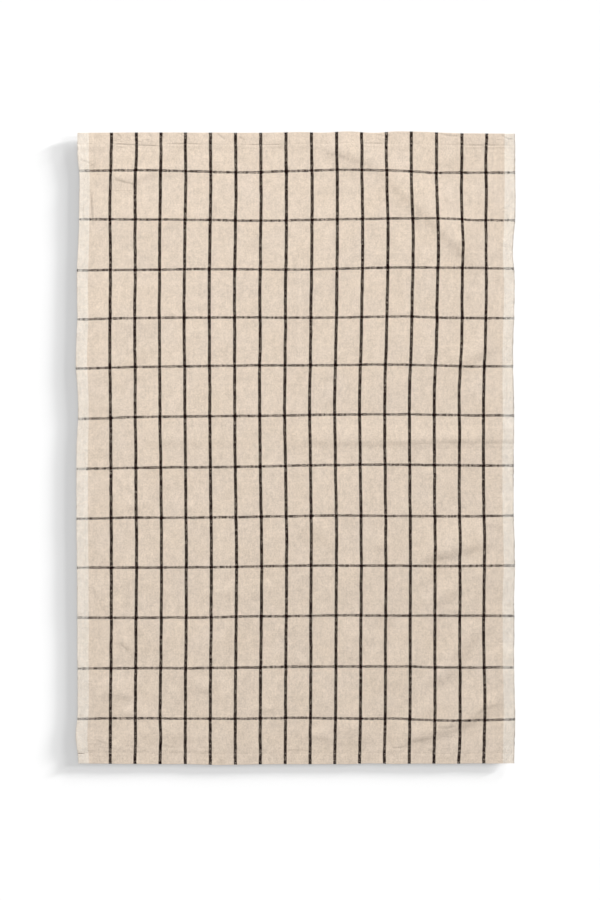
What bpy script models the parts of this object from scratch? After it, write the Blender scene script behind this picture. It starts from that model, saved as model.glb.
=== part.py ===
"""Woven cotton tea towel with a windowpane check, lying open on a table.

One cut length of cloth, selvedges left and right, turned and stitched hems at
both ends. The cloth lies flat except for a few soft rumples and slightly
lifted edges. Metres, +Z up, +Y towards the top hem, origin on the table under
the middle of the towel.
"""
import bpy
import bmesh
from collections import namedtuple
from math import cos, hypot, pi

# ---------------------------------------------------------------- sizes (m)
WIDTH = 0.485            # selvedge to selvedge
LENGTH = 0.700           # hemmed end to hemmed end
CLOTH_THICKNESS = 0.0012
HEM_THICKNESS = 0.0021   # three layers, pressed
HEM_DEPTH = 0.014        # stitched hem at each end
HEM_STEP = 0.0012        # run of the step where the hem ends
SELVEDGE = 0.012         # paler woven border along each side
COLUMNS = 36             # cells across the body of the cloth
ROWS = 51                # cells along the body of the cloth
MM = 0.001

# ------------------------------------------------------------ short tables
# Edge lines: how far an edge lies outside (+) or inside (-) its straight
# line, in mm, against the distance along it from the middle, in mm.
EdgePoint = namedtuple("EdgePoint", "along out")
LEFT_EDGE = [EdgePoint(-350, -0.6), EdgePoint(-318, 2.0), EdgePoint(-290, -0.8),
             EdgePoint(-180, -0.4), EdgePoint(-60, 0.6), EdgePoint(50, -1.4),
             EdgePoint(98, 1.4), EdgePoint(150, -0.6), EdgePoint(235, -1.2),
             EdgePoint(350, -2.4)]
RIGHT_EDGE = [EdgePoint(-350, 0.0), EdgePoint(-290, 1.4), EdgePoint(-225, 0.2),
              EdgePoint(-130, 0.8), EdgePoint(-60, -0.8), EdgePoint(50, -0.6),
              EdgePoint(98, -0.8), EdgePoint(150, 0.9), EdgePoint(215, -0.5),
              EdgePoint(265, 0.9), EdgePoint(350, 0.4)]
TOP_EDGE = [EdgePoint(-243, -0.4), EdgePoint(-123, 1.1), EdgePoint(-60, 0.2),
            EdgePoint(50, 2.0), EdgePoint(115, 1.4), EdgePoint(190, -0.6),
            EdgePoint(243, -1.0)]
BOTTOM_EDGE = [EdgePoint(-243, 0.0), EdgePoint(-150, 0.6), EdgePoint(-20, -0.5),
               EdgePoint(90, 0.5), EdgePoint(170, 0.9), EdgePoint(243, -0.6)]

# Soft rumples: a crest along a curve from start over bend to end (mm from
# the middle), its half width and height (mm), and whether each end fades out.
Rumple = namedtuple("Rumple", "name x0 y0 xb yb x1 y1 half_width height fade0 fade1")
RUMPLES = [
    Rumple("top right sweep", 34, 334, 171, 280, 212, 178, 24, 2.9, 1, 1),
    Rumple("sweep tail", 206, 206, 222, 150, 206, 84, 20, 1.1, 1, 1),
    Rumple("middle press fold", -62, 10, 80, 13, 252, 15, 18, 1.6, 1, 0),
    Rumple("right cross fold", 132, -124, 175, -112, 250, -88, 20, 2.1, 1, 0),
    Rumple("right faint fold", 138, -172, 180, -158, 250, -118, 18, 1.3, 1, 0),
    Rumple("bottom right sweep", 96, -330, 160, -318, 252, -262, 24, 2.6, 1, 0),
    Rumple("bottom left swell", -222, -242, -196, -290, -168, -334, 20, 1.4, 1, 1),
    Rumple("left short fold", -215, -200, -196, -214, -172, -240, 18, 1.1, 1, 1),
    Rumple("top left fold", -212, 298, -176, 296, -138, 312, 18, 1.2, 1, 1),
    Rumple("centre dimple", 4, -70, 30, -92, 48, -122, 18, 0.9, 1, 1),
]

# Lifted edges: how high each edge stands off the table, in mm, against the
# distance along it from the middle, in mm, with the width of the lift.
Lift = namedtuple("Lift", "along up")
LIFT_WIDTH = 0.034
LEFT_LIFT = [Lift(-350, 1.2), Lift(-290, 1.7), Lift(-190, 1.3), Lift(-80, 1.6),
             Lift(40, 1.3), Lift(130, 1.7), Lift(215, 1.4), Lift(270, 1.8),
             Lift(310, 1.0), Lift(350, 0.4)]
RIGHT_LIFT = [Lift(-350, 0.5), Lift(-262, 1.3), Lift(-200, 0.3), Lift(-100, 0.8),
              Lift(0, 0.3), Lift(120, 0.7), Lift(220, 0.3), Lift(350, 0.7)]
BOTTOM_LIFT = [Lift(-243, 1.3), Lift(-150, 0.9), Lift(-40, 1.2), Lift(60, 0.9),
               Lift(150, 1.4), Lift(215, 1.1), Lift(243, 0.5)]
TOP_LIFT = [Lift(-243, 0.4), Lift(-120, 0.3), Lift(0, 0.6), Lift(90, 0.9),
            Lift(180, 0.4), Lift(243, 0.7)]


# --------------------------------------------------------------- functions
def smooth(t):
    t = min(max(t, 0.0), 1.0)
    return t * t * (3.0 - 2.0 * t)


def along_table(rows, at):
    """Value at a distance along an edge, eased from row to row."""
    if at <= rows[0][0]:
        return rows[0][1]
    for low, high in zip(rows, rows[1:]):
        if at <= high[0]:
            return low[1] + (high[1] - low[1]) * smooth((at - low[0]) / (high[0] - low[0]))
    return rows[-1][1]


def edge_scale(x, y):
    """Moves a point of the straight-sided cloth onto the real outline."""
    right = WIDTH / 2 + along_table(RIGHT_EDGE, y / MM) * MM
    left = -WIDTH / 2 - along_table(LEFT_EDGE, y / MM) * MM
    top = LENGTH / 2 + along_table(TOP_EDGE, x / MM) * MM
    bottom = -LENGTH / 2 - along_table(BOTTOM_EDGE, x / MM) * MM
    across = x / WIDTH + 0.5
    up = y / LENGTH + 0.5
    return left + (right - left) * across, bottom + (top - bottom) * up


def crest(row, x, y):
    """Height of one rumple over a point, 0 beyond its half width."""
    best, where = 1e9, 0.0
    steps = 28
    for i in range(steps + 1):
        t = i / steps
        a, b, c = (1 - t) ** 2, 2 * t * (1 - t), t * t
        d = hypot(x - (a * row.x0 + b * row.xb + c * row.x1),
                  y - (a * row.y0 + b * row.yb + c * row.y1))
        if d < best:
            best, where = d, t
    if best >= row.half_width:
        return 0.0
    fade = 1.0
    if row.fade0:
        fade *= smooth(where / 0.3)
    if row.fade1:
        fade *= smooth((1 - where) / 0.3)
    return row.height * fade * cos(best / row.half_width * pi / 2) ** 2


def lift(rows, at, inset):
    """Height of a lifted edge at a distance in from it."""
    if inset >= LIFT_WIDTH:
        return 0.0
    return along_table(rows, at) * (1 - inset / LIFT_WIDTH) ** 2


def height(x, y):
    """Height of the cloth's underside over the table, in metres."""
    up = sum(crest(row, x / MM, y / MM) for row in RUMPLES)
    sides = max(lift(LEFT_LIFT, y / MM, WIDTH / 2 + x), lift(RIGHT_LIFT, y / MM, WIDTH / 2 - x))
    ends = max(lift(TOP_LIFT, x / MM, LENGTH / 2 - y), lift(BOTTOM_LIFT, x / MM, LENGTH / 2 + y))
    return max(up, sides, ends, 0.65 * (up + sides + ends) if up else 0.0) * MM


def lines(full, inner_steps, border):
    """Grid lines from one edge to the other, with the border's own lines."""
    half = full / 2
    inner = half - border[-1]
    first = [-half + b for b in border]
    middle = [-inner + 2 * inner * i / inner_steps for i in range(1, inner_steps)]
    return first + middle + [-v for v in reversed(first)]


def build_cloth(collection):
    xs = lines(WIDTH, COLUMNS, [0.0, SELVEDGE / 2, SELVEDGE])
    ys = lines(LENGTH, ROWS, [0.0, HEM_DEPTH / 2, HEM_DEPTH, HEM_DEPTH + HEM_STEP])
    bm = bmesh.new()
    bmesh.ops.create_grid(bm, x_segments=len(xs) - 1, y_segments=len(ys) - 1, size=0.5)
    hem_rows = {0, 1, 2, len(ys) - 3, len(ys) - 2, len(ys) - 1}
    in_hem = []
    for v in bm.verts:
        i = round((v.co.x + 0.5) * (len(xs) - 1))
        j = round((v.co.y + 0.5) * (len(ys) - 1))
        x, y = xs[i], ys[j]
        px, py = edge_scale(x, y)
        v.co = (px, py, height(x, y))
        if j in hem_rows:
            in_hem.append(v.index)
    # the origin stands under the middle of the cloth, on the table
    mid_x = (min(v.co.x for v in bm.verts) + max(v.co.x for v in bm.verts)) / 2
    mid_y = (min(v.co.y for v in bm.verts) + max(v.co.y for v in bm.verts)) / 2
    low = min(v.co.z for v in bm.verts)
    bmesh.ops.translate(bm, verts=bm.verts, vec=(-mid_x, -mid_y, -low))
    mesh = bpy.data.meshes.new("towel")
    bm.to_mesh(mesh)
    bm.free()
    mesh.shade_smooth()
    towel = bpy.data.objects.new("towel", mesh)
    collection.objects.link(towel)

    hems = towel.vertex_groups.new(name="hems")
    hems.add(in_hem, 1.0, "REPLACE")
    shell = towel.modifiers.new("thickness", "SOLIDIFY")
    shell.thickness = HEM_THICKNESS
    shell.offset = 1.0
    shell.vertex_group = "hems"
    shell.thickness_vertex_group = CLOTH_THICKNESS / HEM_THICKNESS
    shell.use_even_offset = False
    return towel


def cloth_material():
    mat = bpy.data.materials.new("towel cloth")
    mat.use_nodes = True
    bsdf = mat.node_tree.nodes["Principled BSDF"]
    bsdf.inputs["Base Color"].default_value = (0.71, 0.60, 0.49, 1.0)
    bsdf.inputs["Roughness"].default_value = 0.9
    bsdf.inputs["Metallic"].default_value = 0.0
    return mat


def main():
    for obj in list(bpy.data.objects):
        bpy.data.objects.remove(obj, do_unlink=True)
    collection = bpy.data.collections.new("Tea towel")
    bpy.context.scene.collection.children.link(collection)
    towel = build_cloth(collection)
    towel.data.materials.append(cloth_material())


main()
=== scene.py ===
"""Looks of the tea towel: a thin woven cotton cloth with turned hems, its
creases and puckers, procedural plain weave, a pale floor, soft light and the
camera straight above.

All tables are in millimetres from the middle of the towel (x to the right,
y towards the top hem) unless a column says otherwise.
"""

from collections import namedtuple
from math import pi, radians, sin, cos

import bpy
import numpy as np
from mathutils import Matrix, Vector


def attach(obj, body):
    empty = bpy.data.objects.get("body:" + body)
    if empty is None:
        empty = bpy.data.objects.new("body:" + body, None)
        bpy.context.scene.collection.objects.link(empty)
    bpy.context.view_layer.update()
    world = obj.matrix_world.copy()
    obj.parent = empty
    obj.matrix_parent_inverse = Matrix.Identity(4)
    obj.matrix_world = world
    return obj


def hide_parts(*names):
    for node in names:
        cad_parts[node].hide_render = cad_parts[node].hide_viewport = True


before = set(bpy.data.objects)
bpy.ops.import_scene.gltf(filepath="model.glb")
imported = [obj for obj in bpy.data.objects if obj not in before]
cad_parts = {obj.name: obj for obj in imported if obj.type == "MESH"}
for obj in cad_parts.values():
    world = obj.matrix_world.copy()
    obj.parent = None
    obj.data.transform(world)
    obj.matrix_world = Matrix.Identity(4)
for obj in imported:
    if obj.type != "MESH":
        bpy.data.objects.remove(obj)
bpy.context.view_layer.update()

MM = 0.001

# ----------------------------------------------------------------- sizes (mm)
WIDTH = 485.0            # selvedge to selvedge
LENGTH = 700.0           # hemmed end to hemmed end
THICK = 0.25             # one layer of cloth
LAYER = 0.26             # from one layer of the pressed hem to the next
HEM = 14.0               # depth of the finished hem
HEM_RISE = 7.5           # longest run over which the face climbs onto the hem
STITCH_AT = 12.3         # stitch line, from the folded end
TUCK = 12.4              # the part folded inside the hem
REST = 0.65              # usual gap between cloth and table
BORDER = 12.2            # paler warp along each selvedge

STRIPES = 16             # dark warp stripes
STRIPE_FIRST = 36.6      # from the left selvedge
STRIPE_STEP = 27.70
LINES = 12               # dark weft lines
LINE_FIRST = 53.55       # from the bottom end
LINE_STEP = 55.08
WARP_ENDS = 32           # warp threads in one stripe step
WEFT_PICKS = 58          # weft threads in one line step
STRIPE_ENDS = 4          # dark threads in a stripe
LINE_PICKS = 3           # dark threads in a line

# --------------------------------------------------------------- outline (mm)
EdgePoint = namedtuple("EdgePoint", "along out")
LEFT_EDGE = [EdgePoint(-350, -0.6), EdgePoint(-318, 2.0), EdgePoint(-290, -0.8),
             EdgePoint(-180, -0.4), EdgePoint(-60, 0.6), EdgePoint(50, -1.4),
             EdgePoint(98, 1.4), EdgePoint(150, -0.6), EdgePoint(235, -1.2),
             EdgePoint(350, -2.4)]
RIGHT_EDGE = [EdgePoint(-350, 0.0), EdgePoint(-290, 1.4), EdgePoint(-225, 0.2),
              EdgePoint(-130, 0.8), EdgePoint(-60, -0.8), EdgePoint(50, -0.6),
              EdgePoint(98, -0.8), EdgePoint(150, 0.9), EdgePoint(215, -0.5),
              EdgePoint(265, 0.9), EdgePoint(350, 0.4)]
TOP_EDGE = [EdgePoint(-243, -0.4), EdgePoint(-123, 1.1), EdgePoint(-60, 0.2),
            EdgePoint(50, 2.0), EdgePoint(115, 1.4), EdgePoint(190, -0.6),
            EdgePoint(243, -1.0)]
BOTTOM_EDGE = [EdgePoint(-243, 0.0), EdgePoint(-150, 0.6), EdgePoint(-20, -0.5),
               EdgePoint(90, 0.5), EdgePoint(170, 0.9), EdgePoint(243, -0.6)]

# Small waves on top of those lines, a row for each bend that shows.
LEFT_WAVES = [EdgePoint(-350, -1.0), EdgePoint(-280, 0.0), EdgePoint(-50, 0.0),
              EdgePoint(0, 1.0), EdgePoint(45, 0.0), EdgePoint(140, 0.0),
              EdgePoint(195, 1.0), EdgePoint(250, -1.0), EdgePoint(300, -1.0),
              EdgePoint(330, 1.7)]
RIGHT_WAVES = [EdgePoint(-350, 0.0), EdgePoint(-255, -0.6), EdgePoint(-200, 0.0),
               EdgePoint(-168, -0.8), EdgePoint(-130, 0.0), EdgePoint(50, 0.5),
               EdgePoint(85, -0.4), EdgePoint(136, -1.1), EdgePoint(192, 0.5),
               EdgePoint(219, -0.9), EdgePoint(270, 0.5)]
TOP_WAVES = [EdgePoint(-220, 0.4), EdgePoint(-110, -0.7), EdgePoint(-80, 0.0),
             EdgePoint(0, -0.3), EdgePoint(29, -1.6), EdgePoint(56, -0.4),
             EdgePoint(84, -1.6), EdgePoint(112, 0.3), EdgePoint(220, 0.0)]
BOTTOM_WAVES = [EdgePoint(-220, -0.3), EdgePoint(-130, -0.2), EdgePoint(-80, 1.2),
                EdgePoint(0, 0.9), EdgePoint(55, 0.2), EdgePoint(85, -0.9),
                EdgePoint(112, -0.4), EdgePoint(140, -1.0), EdgePoint(195, -0.9),
                EdgePoint(222, 0.0)]

Lift = namedtuple("Lift", "along up")
LIFT_WIDTH = 34.0
LEFT_LIFT = [Lift(-350, 1.2), Lift(-290, 1.7), Lift(-190, 1.3), Lift(-80, 1.6),
             Lift(40, 1.3), Lift(130, 1.7), Lift(215, 1.4), Lift(270, 1.8),
             Lift(310, 1.0), Lift(350, 0.4)]
RIGHT_LIFT = [Lift(-350, 0.5), Lift(-262, 1.3), Lift(-200, 0.3), Lift(-100, 0.8),
              Lift(0, 0.3), Lift(120, 0.7), Lift(220, 0.3), Lift(350, 0.7)]
BOTTOM_LIFT = [Lift(-243, 1.3), Lift(-150, 0.9), Lift(-40, 1.2), Lift(60, 0.9),
               Lift(150, 1.4), Lift(215, 1.1), Lift(243, 0.5)]
TOP_LIFT = [Lift(-243, 0.4), Lift(-120, 0.3), Lift(0, 0.6), Lift(90, 0.9),
            Lift(180, 0.4), Lift(243, 0.7)]

# How far the warp has drifted sideways (+ right) at six places across.
WarpDrift = namedtuple("WarpDrift", "y far_left left mid_left mid_right right far_right")
WARP_AT = (-206, -123, -40, 43, 127, 210)
WARP_DRIFT = [
    WarpDrift(345, 1.1, 0.0, 0.1, 1.0, 0.5, 1.0),
    WarpDrift(296, -0.1, 0.1, 0.4, 1.7, 0.8, 0.6),
    WarpDrift(240, -0.3, -0.7, 0.1, 1.9, 2.6, 0.0),
    WarpDrift(175, -0.2, -1.5, -0.8, 1.2, 1.9, 0.4),
    WarpDrift(119, -0.7, -1.5, -0.7, 0.5, 0.7, -0.6),
    WarpDrift(60, -0.1, -0.9, -1.1, -1.0, -1.3, -2.5),
    WarpDrift(-46, 0.6, 0.1, 0.0, 0.2, -0.8, -2.4),
    WarpDrift(-101, 0.8, 0.7, 1.0, 0.9, -0.4, -1.6),
    WarpDrift(-212, 0.9, 0.4, 0.3, 0.3, -0.6, -2.5),
    WarpDrift(-268, 0.1, -0.2, -0.2, 0.1, -0.7, -1.4),
    WarpDrift(-340, -0.3, -0.3, -0.4, -1.0, -1.7, -2.3),
]

# How far each woven line has drifted up (+) or down (-), at nine places across.
LineDrift = namedtuple("LineDrift", "y edge_l c2 c3 c4 middle c6 c7 c8 edge_r")
LINE_AT = (-237, -164, -110, -54, 2, 58, 113, 168, 237)
LINE_DRIFT = [
    LineDrift(310, -2.3, -1.5, -2.8, -3.7, -2.1, -0.8, -2.2, -4.0, -4.0),
    LineDrift(254, -0.8, -1.0, -1.2, -2.1, -1.6, -0.6, 0.4, 0.0, -1.8),
    LineDrift(199, -2.1, -1.3, -0.7, -1.1, -1.2, -0.1, 1.1, 0.8, -0.1),
    LineDrift(144, -1.2, 0.4, 0.7, 1.0, 0.6, 1.0, 1.8, 0.6, -0.1),
    LineDrift(89, -0.6, 1.3, 2.0, 2.8, 2.8, 3.3, 3.7, 2.4, 1.8),
    LineDrift(34, -1.3, 1.0, 1.5, 2.0, 2.7, 3.5, 3.8, 3.2, 2.4),
    LineDrift(-21, -1.6, -0.2, 0.2, 0.8, 2.0, 2.9, 3.1, 2.4, 2.1),
    LineDrift(-76, -1.6, -0.4, -0.5, 0.4, 1.2, 1.9, 1.6, 0.9, 1.8),
    LineDrift(-131, -0.8, -0.6, -0.4, 0.5, 1.4, 1.4, 1.3, 0.9, 1.6),
    LineDrift(-186, -1.2, -1.1, -0.9, 0.2, 0.8, 1.5, 1.2, 1.2, 0.9),
    LineDrift(-241, -2.2, -1.9, -1.9, -1.2, -0.2, -0.1, 0.0, -1.1, -1.0),
    LineDrift(-296, -2.8, -2.2, -2.7, -2.7, -1.9, -2.6, -2.8, -4.7, -3.6),
]

# Where the face drops steeply off the hem beside the stitches, and shows a
# fine line: from and to across the towel, and the run of the drop.
Step = namedtuple("Step", "x0 x1 run")
TOP_STEPS = [Step(-212, -148, 1.7), Step(-146, -104, 2.4), Step(-60, -10, 2.6),
             Step(72, 98, 2.0), Step(186, 228, 2.0)]
BOTTOM_STEPS = [Step(-230, -150, 2.4), Step(-148, -66, 2.0), Step(-20, 30, 3.0),
                Step(84, 120, 1.9), Step(200, 240, 2.4)]
SOFT_RUN = 6.2

# Small local pulls of the cloth in its own plane.
Pull = namedtuple("Pull", "x y dx dy rx ry")
PULLS = [
    Pull(170, 228, 1.1, 0.0, 24, 40),
    Pull(181, 128, 0.8, 0.0, 24, 44),
    Pull(180, 10, 1.3, 0.0, 24, 50),
    Pull(180, -95, 0.5, 0.0, 24, 36),
    Pull(180, -195, 1.4, 0.0, 24, 60),
    Pull(182, -312, 1.0, 0.0, 24, 40),
    Pull(-178, -40, -0.5, 0.0, 18, 50),
    Pull(-178, -200, -0.6, 0.0, 18, 50),
    Pull(-178, 250, 0.4, 0.0, 18, 60),
    Pull(211, 322, -0.9, 0.0, 16, 18),
    Pull(-206, 269, -0.6, 0.0, 16, 26),
    Pull(-178, 318, 0.5, 0.0, 20, 30),
    Pull(14, -140, -0.5, 0.0, 14, 90),
    Pull(150, 312, 0.0, -0.8, 14, 30),
    Pull(196, 254, 0.0, -0.8, 14, 26),
    Pull(192, 70, 0.0, -0.4, 16, 60),
]

# Creases: the crest (or floor) of each along a curve, the width of its slope
# to the left and to the right of that direction, and its height (a trough is
# negative).
Crease = namedtuple("Crease", "name x0 y0 xb yb x1 y1 left right height fade0 fade1")
CREASES = [
    # the long sweep across the top right corner, with its trough
    Crease("sweep, upper part", 20, 334, 80, 336, 130, 276, 26, 14, 2.2, 1, 1),
    Crease("sweep, lower part", 84, 316, 157, 258, 198, 203, 34, 16, 3.8, 1, 1),
    Crease("sweep, end", 168, 240, 193, 220, 202, 186, 16, 13, 2.2, 1, 1),
    Crease("sweep, trough", 80, 290, 134, 240, 172, 196, 14, 20, -0.6, 1, 1),
    Crease("sweep, tail", 203, 200, 216, 150, 206, 84, 22, 16, 0.9, 1, 1),
    Crease("sweep, first knuckle", 26, 330, 44, 330, 64, 324, 10, 10, 0.9, 1, 1),
    Crease("above the sweep", 128, 330, 160, 322, 196, 318, 18, 13, 1, 1, 1),
    Crease("corner ripple", 150, 284, 172, 280, 190, 262, 12, 8, 0.8, 1, 1),
    Crease("corner ripple by the border", 208, 300, 218, 280, 220, 250, 14, 9, 0.8, 1, 1),
    # the fold of the pressed cloth across the middle
    Crease("press fold", -44, 9.5, 110, 7.5, 240, 10.5, 26, 10, 1.75, 1, 0),
    Crease("press fold, sharper part", 108, 8.5, 150, 7.5, 214, 11.5, 12, 8, 0.5, 1, 1),
    Crease("press fold, left end", -206, 8.5, -120, 9, -30, 9.5, 22, 11, 0.75, 1, 1),
    Crease("above the press fold", -20, 40, 60, 42, 150, 38, 14, 14, -0.5, 1, 1),
    # folds that run in from the right side
    Crease("right cross fold", 130, -121, 176, -109, 232, -98, 36, 15, 2.4, 1, 1),
    Crease("right cross fold, knuckle", 134, -122, 152, -119, 176, -115, 14, 11, 0.7, 1, 1),
    Crease("right second fold", 146, -184, 159, -158, 190, -150, 20, 13, 1.7, 1, 1),
    Crease("right third fold", 172, -240, 188, -214, 204, -192, 22, 14, 1.8, 1, 1),
    Crease("right lower dimple", 148, -260, 161, -249, 180, -242, 14, 11, 1.3, 1, 1),
    Crease("right upper fold", 176, 89, 190, 106, 226, 115, 18, 12, 1.5, 1, 1),
    Crease("by the right border", 206, -82, 218, -84, 232, -82, 12, 10, 0.8, 1, 1),
    # the sweep across the bottom right corner
    Crease("lower sweep", 104, -326, 166, -309, 238, -275, 34, 16, 2.7, 1, 1),
    Crease("lower sweep, left knuckle", 114, -320, 136, -318, 160, -314, 14, 11, 0.9, 1, 1),
    Crease("lower sweep, right knuckle", 190, -292, 212, -282, 236, -275, 14, 11, 1.1, 1, 1),
    Crease("above the lower sweep", 118, -296, 150, -290, 198, -262, 14, 12, 1.1, 1, 1),
    # bottom left
    Crease("lower left swell", -220, -266, -198, -269, -172, -279, 22, 11, 1.7, 1, 1),
    Crease("lower left swell, second", -202, -291, -180, -293, -148, -300, 14, 10, 1.4, 1, 1),
    Crease("left slant", -226, -143, -218, -166, -197, -192, 14, 8, 1.2, 1, 1),
    Crease("left slant, short", -199, -210, -186, -216, -174, -230, 10, 7, 1.2, 1, 1),
    Crease("lower left ripple", -124, -261, -106, -263, -86, -270, 14, 10, 1.1, 1, 1),
    # top left
    Crease("top left fold", -212, 303, -191, 301, -170, 291, 14, 9, 1.3, 1, 1),
    Crease("top left fold, second", -186, 293, -166, 304, -142, 313, 14, 9, 1.1, 1, 1),
    Crease("top left slant", -222, 346, -209, 326, -196, 306, 16, 10, 0.9, 1, 1),
    Crease("top left swell", -212, 320, -180, 319, -148, 322, 18, 12, 0.55, 1, 1),
    Crease("left border furrow", -228.6, 322, -226.0, 286, -224.0, 236, 6, 5, -0.50, 1, 1),
    Crease("left border rise", -232, 330, -234.5, 290, -232, 190, 7, 7, 0.35, 1, 1),
    # dimples where a woven line holds the cloth a little tighter
    Crease("dimple 1", -198, 93, -186, 94, -174, 93, 11, 8, 0.8, 1, 1),
    Crease("dimple 2", -140, 95, -128, 96, -116, 94, 11, 8, 0.75, 1, 1),
    Crease("dimple 3", -31, 95, -27, 78, -10, 76, 9, 7, 0.7, 1, 1),
    Crease("dimple 4", -3, 94, 8, 95, 19, 92, 11, 9, 0.85, 1, 1),
    Crease("dimple 5", 31, 103, 42, 104, 53, 101, 11, 8, 0.75, 1, 1),
    Crease("dimple 6", 137, 105, 150, 107, 163, 102, 12, 9, 0.85, 1, 1),
    Crease("dimple 7", -215, 55, -209, 42, -195, 37, 10, 8, 0.8, 1, 1),
    Crease("dimple 8", -191, -66, -178, -64, -165, -68, 10, 8, 0.85, 1, 1),
    Crease("dimple 9", -133, -68, -120, -66, -107, -70, 10, 8, 0.85, 1, 1),
    Crease("dimple 10", 14, -76, 26, -96, 48, -115, 14, 9, 1.2, 1, 1),
    Crease("dimple 11", 83, -107, 96, -105, 109, -109, 10, 8, 0.75, 1, 1),
    Crease("dimple 12", 141, -25, 150, -29, 163, -31, 9, 8, 0.65, 1, 1),
    Crease("dimple 13", -201, 138, -190, 139, -177, 134, 10, 9, 0.7, 1, 1),
    Crease("dimple 14", -49, -288, -34, -287, -19, -289, 10, 9, 0.85, 1, 1),
    Crease("dimple 15", 43, -310, 62, -308, 81, -315, 12, 9, 1, 1, 1),
    Crease("dimple 16", 7, -319, 22, -317, 39, -320, 9, 7, 0.85, 1, 1),
    Crease("dimple 17", -5, -235, 6, -237, 15, -245, 10, 8, 0.8, 1, 1),
    # faint long ones
    Crease("upright near the middle", 3, 294, 0, 244, 2, 194, 9, 7, 0.7, 1, 1),
    Crease("lower middle ripple", -124, -156, -60, -162, -8, -158, 18, 13, 0.8, 1, 1),
    Crease("lower right ripple", 40, -206, 84, -214, 120, -204, 16, 11, 0.40, 1, 1),
    Crease("middle ripple", -70, -20, -20, -26, 30, -26, 18, 12, 0.5, 1, 1),
    Crease("right ripple below the fold", 120, -14, 170, -6, 214, -14, 15, 11, 0.32, 1, 1),
    Crease("along the bottom hem", -232, -317, -120, -319, -20, -316, 24, 11, 0.55, 1, 1),
    Crease("along the bottom hem, right", -10, -317, 50, -323, 112, -317, 20, 11, 0.50, 1, 1),
]

# Fine creases too narrow for the mesh: a curve from start over bend to end,
# half the crease's width, and how deep it is (1 is about a millimetre).
Fine = namedtuple("Fine", "name x0 y0 xb yb x1 y1 half_width depth")
FINE = [
    Fine("left border", -227.5, 314, -226.6, 280, -224.2, 238, 1.6, 1),
    Fine("left corner", -240, 318.5, -230, 317, -221, 309, 2.6, 0.5),
    Fine("top left", -202, 298, -188, 292, -175, 291, 2.4, 0.5),
    Fine("left slant", -227, -149, -222, -168, -211, -184, 2.8, 0.25),
    Fine("left slant, short", -197, -216, -189, -221, -181, -233, 2.4, 0.45),
    Fine("lower left", -212, -276, -212, -286, -210, -296, 3.7, 0.19),
    Fine("sweep 1", 34, 324, 44, 322.5, 56, 321, 3.2, 0.35),
    Fine("sweep 5", 182, 214, 188, 206, 185, 199, 3.7, 0.25),
    Fine("lower sweep 1", 126, -326.5, 138, -324, 152, -322, 3.2, 0.4),
    Fine("lower sweep 2", 154, -308, 164, -313, 176, -307, 2.8, 0.45),
    Fine("lower sweep 3", 200, -295, 210, -289, 226, -284, 3.2, 0.35),
    Fine("by the bottom hem", 104, -331, 113, -335, 124, -329, 2.2, 0.5),
    Fine("cross fold 1", 148, -127, 158, -124, 168, -122, 3.1, 0.19),
    Fine("right border", 218, 197, 224, 190, 222, 182, 2.6, 0.24),
    Fine("top right corner", 227, 348, 231, 339, 243, 342, 2, 0.6),
    Fine("top hem line 1", -205, 336.5, -176, 334.5, -149, 334.2, 1.5, 0.85),
    Fine("top hem line 2", -146, 336, -120, 336.5, -104, 336.3, 1.5, 0.4),
    Fine("top hem line 3", -56, 335.5, -36, 335, -12, 335.4, 1.5, 0.45),
    Fine("top hem line 4", 74, 337.2, 86, 337, 97, 336.6, 1.5, 0.45),
    Fine("top hem line 5", 188, 335, 206, 334.2, 228, 335, 1.5, 0.45),
    Fine("top pucker 1", -198, 348, -195, 344, -192, 341, 2.1, 0.6),
    Fine("top pucker 2", -164, 348.5, -162, 346, -159, 343, 2.2, 0.55),
    Fine("top pucker 3", -147.5, 349, -147, 345, -147, 342, 2, 0.5),
    Fine("top pucker 4", -88, 349, -84, 344, -78, 341, 2.1, 0.55),
    Fine("top pucker 5", -64, 344, -60, 342.5, -56, 340, 2.2, 0.5),
    Fine("top pucker 6", 88, 347, 97, 344, 107, 346, 2, 0.45),
    Fine("left end, bottom hem", -243, -339, -238, -338.6, -233, -338.4, 1, 1.2),
    Fine("bottom left crumple 1", -224, -323, -214, -328, -204, -329, 2.5, 0.4),
    Fine("bottom left crumple 2", -220, -331, -210, -333, -196, -334, 2.5, 0.35),
    Fine("bottom left crumple 3", -150, -329, -140, -333, -126, -331, 2.5, 0.3),
    Fine("bottom left crumple 4", -112, -330, -100, -334, -84, -332, 2.5, 0.3),
    Fine("bottom left crumple 5", -190, -331, -182, -329, -170, -333, 2.5, 0.3),
    Fine("bottom crumple 6", -12, -336, 4, -333, 20, -337, 2.4, 0.3),
    Fine("top pucker 8", -180, 346, -176, 343, -170, 345, 2.2, 0.45),
    Fine("top pucker 9", -128, 348, -124, 343, -118, 342, 2, 0.5),
    Fine("top pucker 7", 158, 348, 168, 344, 184, 345, 2.1, 0.45),
]


SEED = 4217


# ------------------------------------------------------------ small functions
def smooth(t):
    t = np.clip(t, 0.0, 1.0)
    return t * t * (3.0 - 2.0 * t)


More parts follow.
